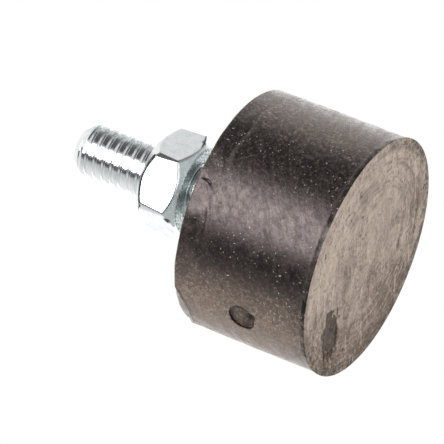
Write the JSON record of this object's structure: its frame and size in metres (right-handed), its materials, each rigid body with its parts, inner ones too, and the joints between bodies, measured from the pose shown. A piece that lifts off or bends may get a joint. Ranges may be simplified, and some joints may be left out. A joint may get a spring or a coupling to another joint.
{
  "type": "anti-vibration mount",
  "caption": "Rubber cylinder bonded to a steel end plate, with a threaded stud and a hexagon nut; it carries a light machine or panel and soaks up vibration.",
  "frame": {"origin": "middle of the plain rubber face, which the mount stands on", "axes": "+Z along the axis from the rubber face to the tip of the stud, -Y towards the moulding gate in the side of the rubber"},
  "size_m": [0.0252, 0.0252, 0.033],
  "materials": {
    "rubber": "black moulded rubber, satin side and dusty grey-brown worn face",
    "zinc_plated_steel": "bright blue-white zinc plating"
  },
  "bodies": {
    "root": {"rubber_body": "rubber", "end_plate": "zinc_plated_steel", "stud": "zinc_plated_steel", "hex_nut": "zinc_plated_steel"}
  },
  "joints": []
}
